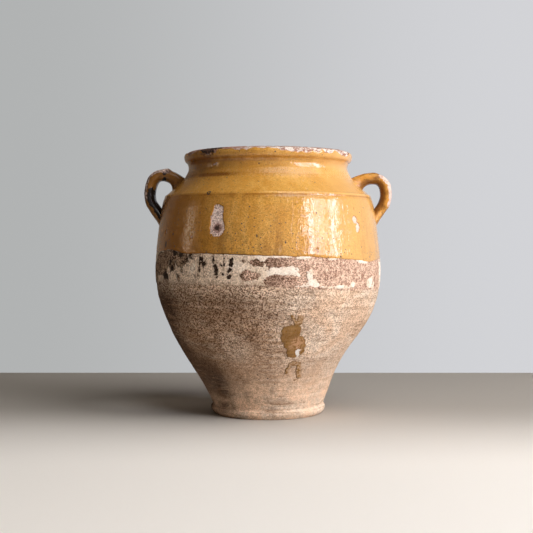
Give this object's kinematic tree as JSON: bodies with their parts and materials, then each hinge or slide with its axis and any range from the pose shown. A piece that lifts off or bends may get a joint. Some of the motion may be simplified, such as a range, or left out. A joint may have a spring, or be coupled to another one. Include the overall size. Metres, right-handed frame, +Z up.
{
  "type": "confit pot",
  "caption": "Hand-thrown earthenware confit pot with a wide belly, rolled lip, two small strap handles on the shoulder, honey glaze above a bare lower body, for keeping food under fat.",
  "frame": {"origin": "on the table, under the middle of the foot", "axes": "+Z up along the axis it was thrown on, +X towards the right handle, -Y towards the front"},
  "size_m": [0.278, 0.252, 0.29],
  "materials": {
    "terracotta": "rough unglazed buff-pink earthenware, mottled with soot",
    "handle_glaze": "brown honey glaze worn through to pink clay on the outer edges",
    "honey_glaze": "glossy honey yellow lead glaze with dark specks and pinholes",
    "lining_glaze": "glossy honey glaze lining, a little crazed",
    "white_slip": "dry cream slip, flaking",
    "brown_glaze": "spilt brown glaze"
  },
  "bodies": {
    "root": {"thrown_body": "terracotta", "left_handle": "handle_glaze", "right_handle": "handle_glaze", "outer_glaze": "honey_glaze", "inner_glaze": "lining_glaze", "slip_band": "white_slip", "glaze_run": "brown_glaze"}
  },
  "joints": []
}
